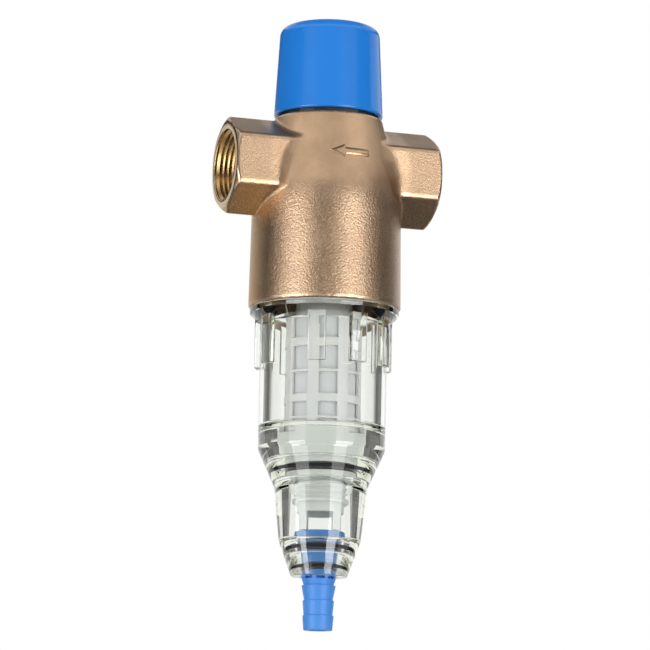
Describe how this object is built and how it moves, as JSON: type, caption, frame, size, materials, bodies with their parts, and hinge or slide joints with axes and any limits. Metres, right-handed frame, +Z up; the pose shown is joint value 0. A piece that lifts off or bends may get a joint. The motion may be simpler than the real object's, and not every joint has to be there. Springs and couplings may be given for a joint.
{
  "type": "water pressure regulator",
  "caption": "Pipe-mounted water pressure regulator: hexagonal threaded ports, turning cap over a spring and diaphragm valve, clear filter bowl below with a screw drain and hose barb.",
  "frame": {"origin": "where the axis through both ports meets the main axis through cap, bowl and drain", "axes": "+Z up along the main axis to the cap, +X towards the inlet port, so that water leaves at -X; -Y is the front with the flow arrow"},
  "size_m": [0.08, 0.0564, 0.2251],
  "materials": {
    "cast_bronze": "shot-blasted casting",
    "turned_brass": "turned",
    "spring_steel": "drawn wire",
    "stainless": "turned",
    "cap_blue": "moulded, glossy",
    "barb_blue": "moulded, satin",
    "bonnet_black": "moulded",
    "clear_bowl": "moulded, clear",
    "filter_white": "moulded",
    "sleeve_white": "moulded, milky",
    "mesh_grey": "woven fine mesh",
    "seal_black": "moulded",
    "diaphragm_black": "fabric-backed"
  },
  "bodies": {
    "housing": {"housing": "cast_bronze", "valve_insert": "turned_brass", "insert_o_ring": "seal_black", "filter_top_o_ring": "seal_black", "stem_guide": "filter_white", "diaphragm": "diaphragm_black", "slip_ring": "turned_brass", "spring_bonnet": "bonnet_black", "adjusting_spring": "spring_steel"},
    "cap": {"adjusting_cap": "cap_blue", "adjusting_spindle": "turned_brass", "thrust_washer": "stainless", "retaining_ring": "spring_steel"},
    "spring_plate": {"spring_plate": "turned_brass"},
    "valve": {"valve_stem": "stainless", "diaphragm_support": "turned_brass", "spring_seat": "spring_steel", "stem_nut": "stainless", "valve_disc": "seal_black", "disc_holder": "turned_brass", "disc_nut": "stainless"},
    "bowl_seal": {"bowl_o_ring": "seal_black"},
    "bowl": {"bowl": "clear_bowl", "filter_cage": "filter_white", "filter_mesh": "mesh_grey", "filter_foot": "sleeve_white", "foot_o_ring": "seal_black"},
    "drain_seals": {"drain_o_ring_upper": "seal_black", "drain_o_ring_lower": "seal_black"},
    "drain": {"drain_plug": "barb_blue", "drain_sleeve": "sleeve_white"}
  },
  "joints": [
    {"name": "cap_turn", "type": "hinge", "parent": "housing", "child": "cap", "pos_m": [0, 0, 0.0212], "axis": [0, 0, -1], "range_deg": [0, 1440]},
    {"name": "plate_slide", "type": "slide", "parent": "housing", "child": "spring_plate", "axis": [0, 0, -1], "range_m": [0, 0.005], "deforming": ["adjusting_spring"]},
    {"name": "valve_lift", "type": "slide", "parent": "housing", "child": "valve", "axis": [0, 0, 1], "range_m": [0, 0.002], "stiffness_N_per_m": 8000, "springref_m": -0.003, "deforming": ["diaphragm", "adjusting_spring"]},
    {"name": "bowl_drop", "type": "slide", "parent": "housing", "child": "bowl_seal", "axis": [0, 0, -1], "range_m": [0, 0.012]},
    {"name": "bowl_turn", "type": "hinge", "parent": "bowl_seal", "child": "bowl", "pos_m": [0, 0, -0.0515], "axis": [0, 0, -1], "range_deg": [0, 2160]},
    {"name": "drain_lift", "type": "slide", "parent": "bowl", "child": "drain_seals", "axis": [0, 0, 1], "range_m": [0, 0.0035]},
    {"name": "drain_turn", "type": "hinge", "parent": "drain_seals", "child": "drain", "pos_m": [0, 0, -0.137], "axis": [0, 0, 1], "range_deg": [0, 720]}
  ],
  "couplings": [
    {"joint": "plate_slide", "follows": "cap_turn", "m_per_rad": 0.00019894},
    {"joint": "bowl_drop", "follows": "bowl_turn", "m_per_rad": 0.0003183},
    {"joint": "drain_lift", "follows": "drain_turn", "m_per_rad": 0.0002785}
  ]
}
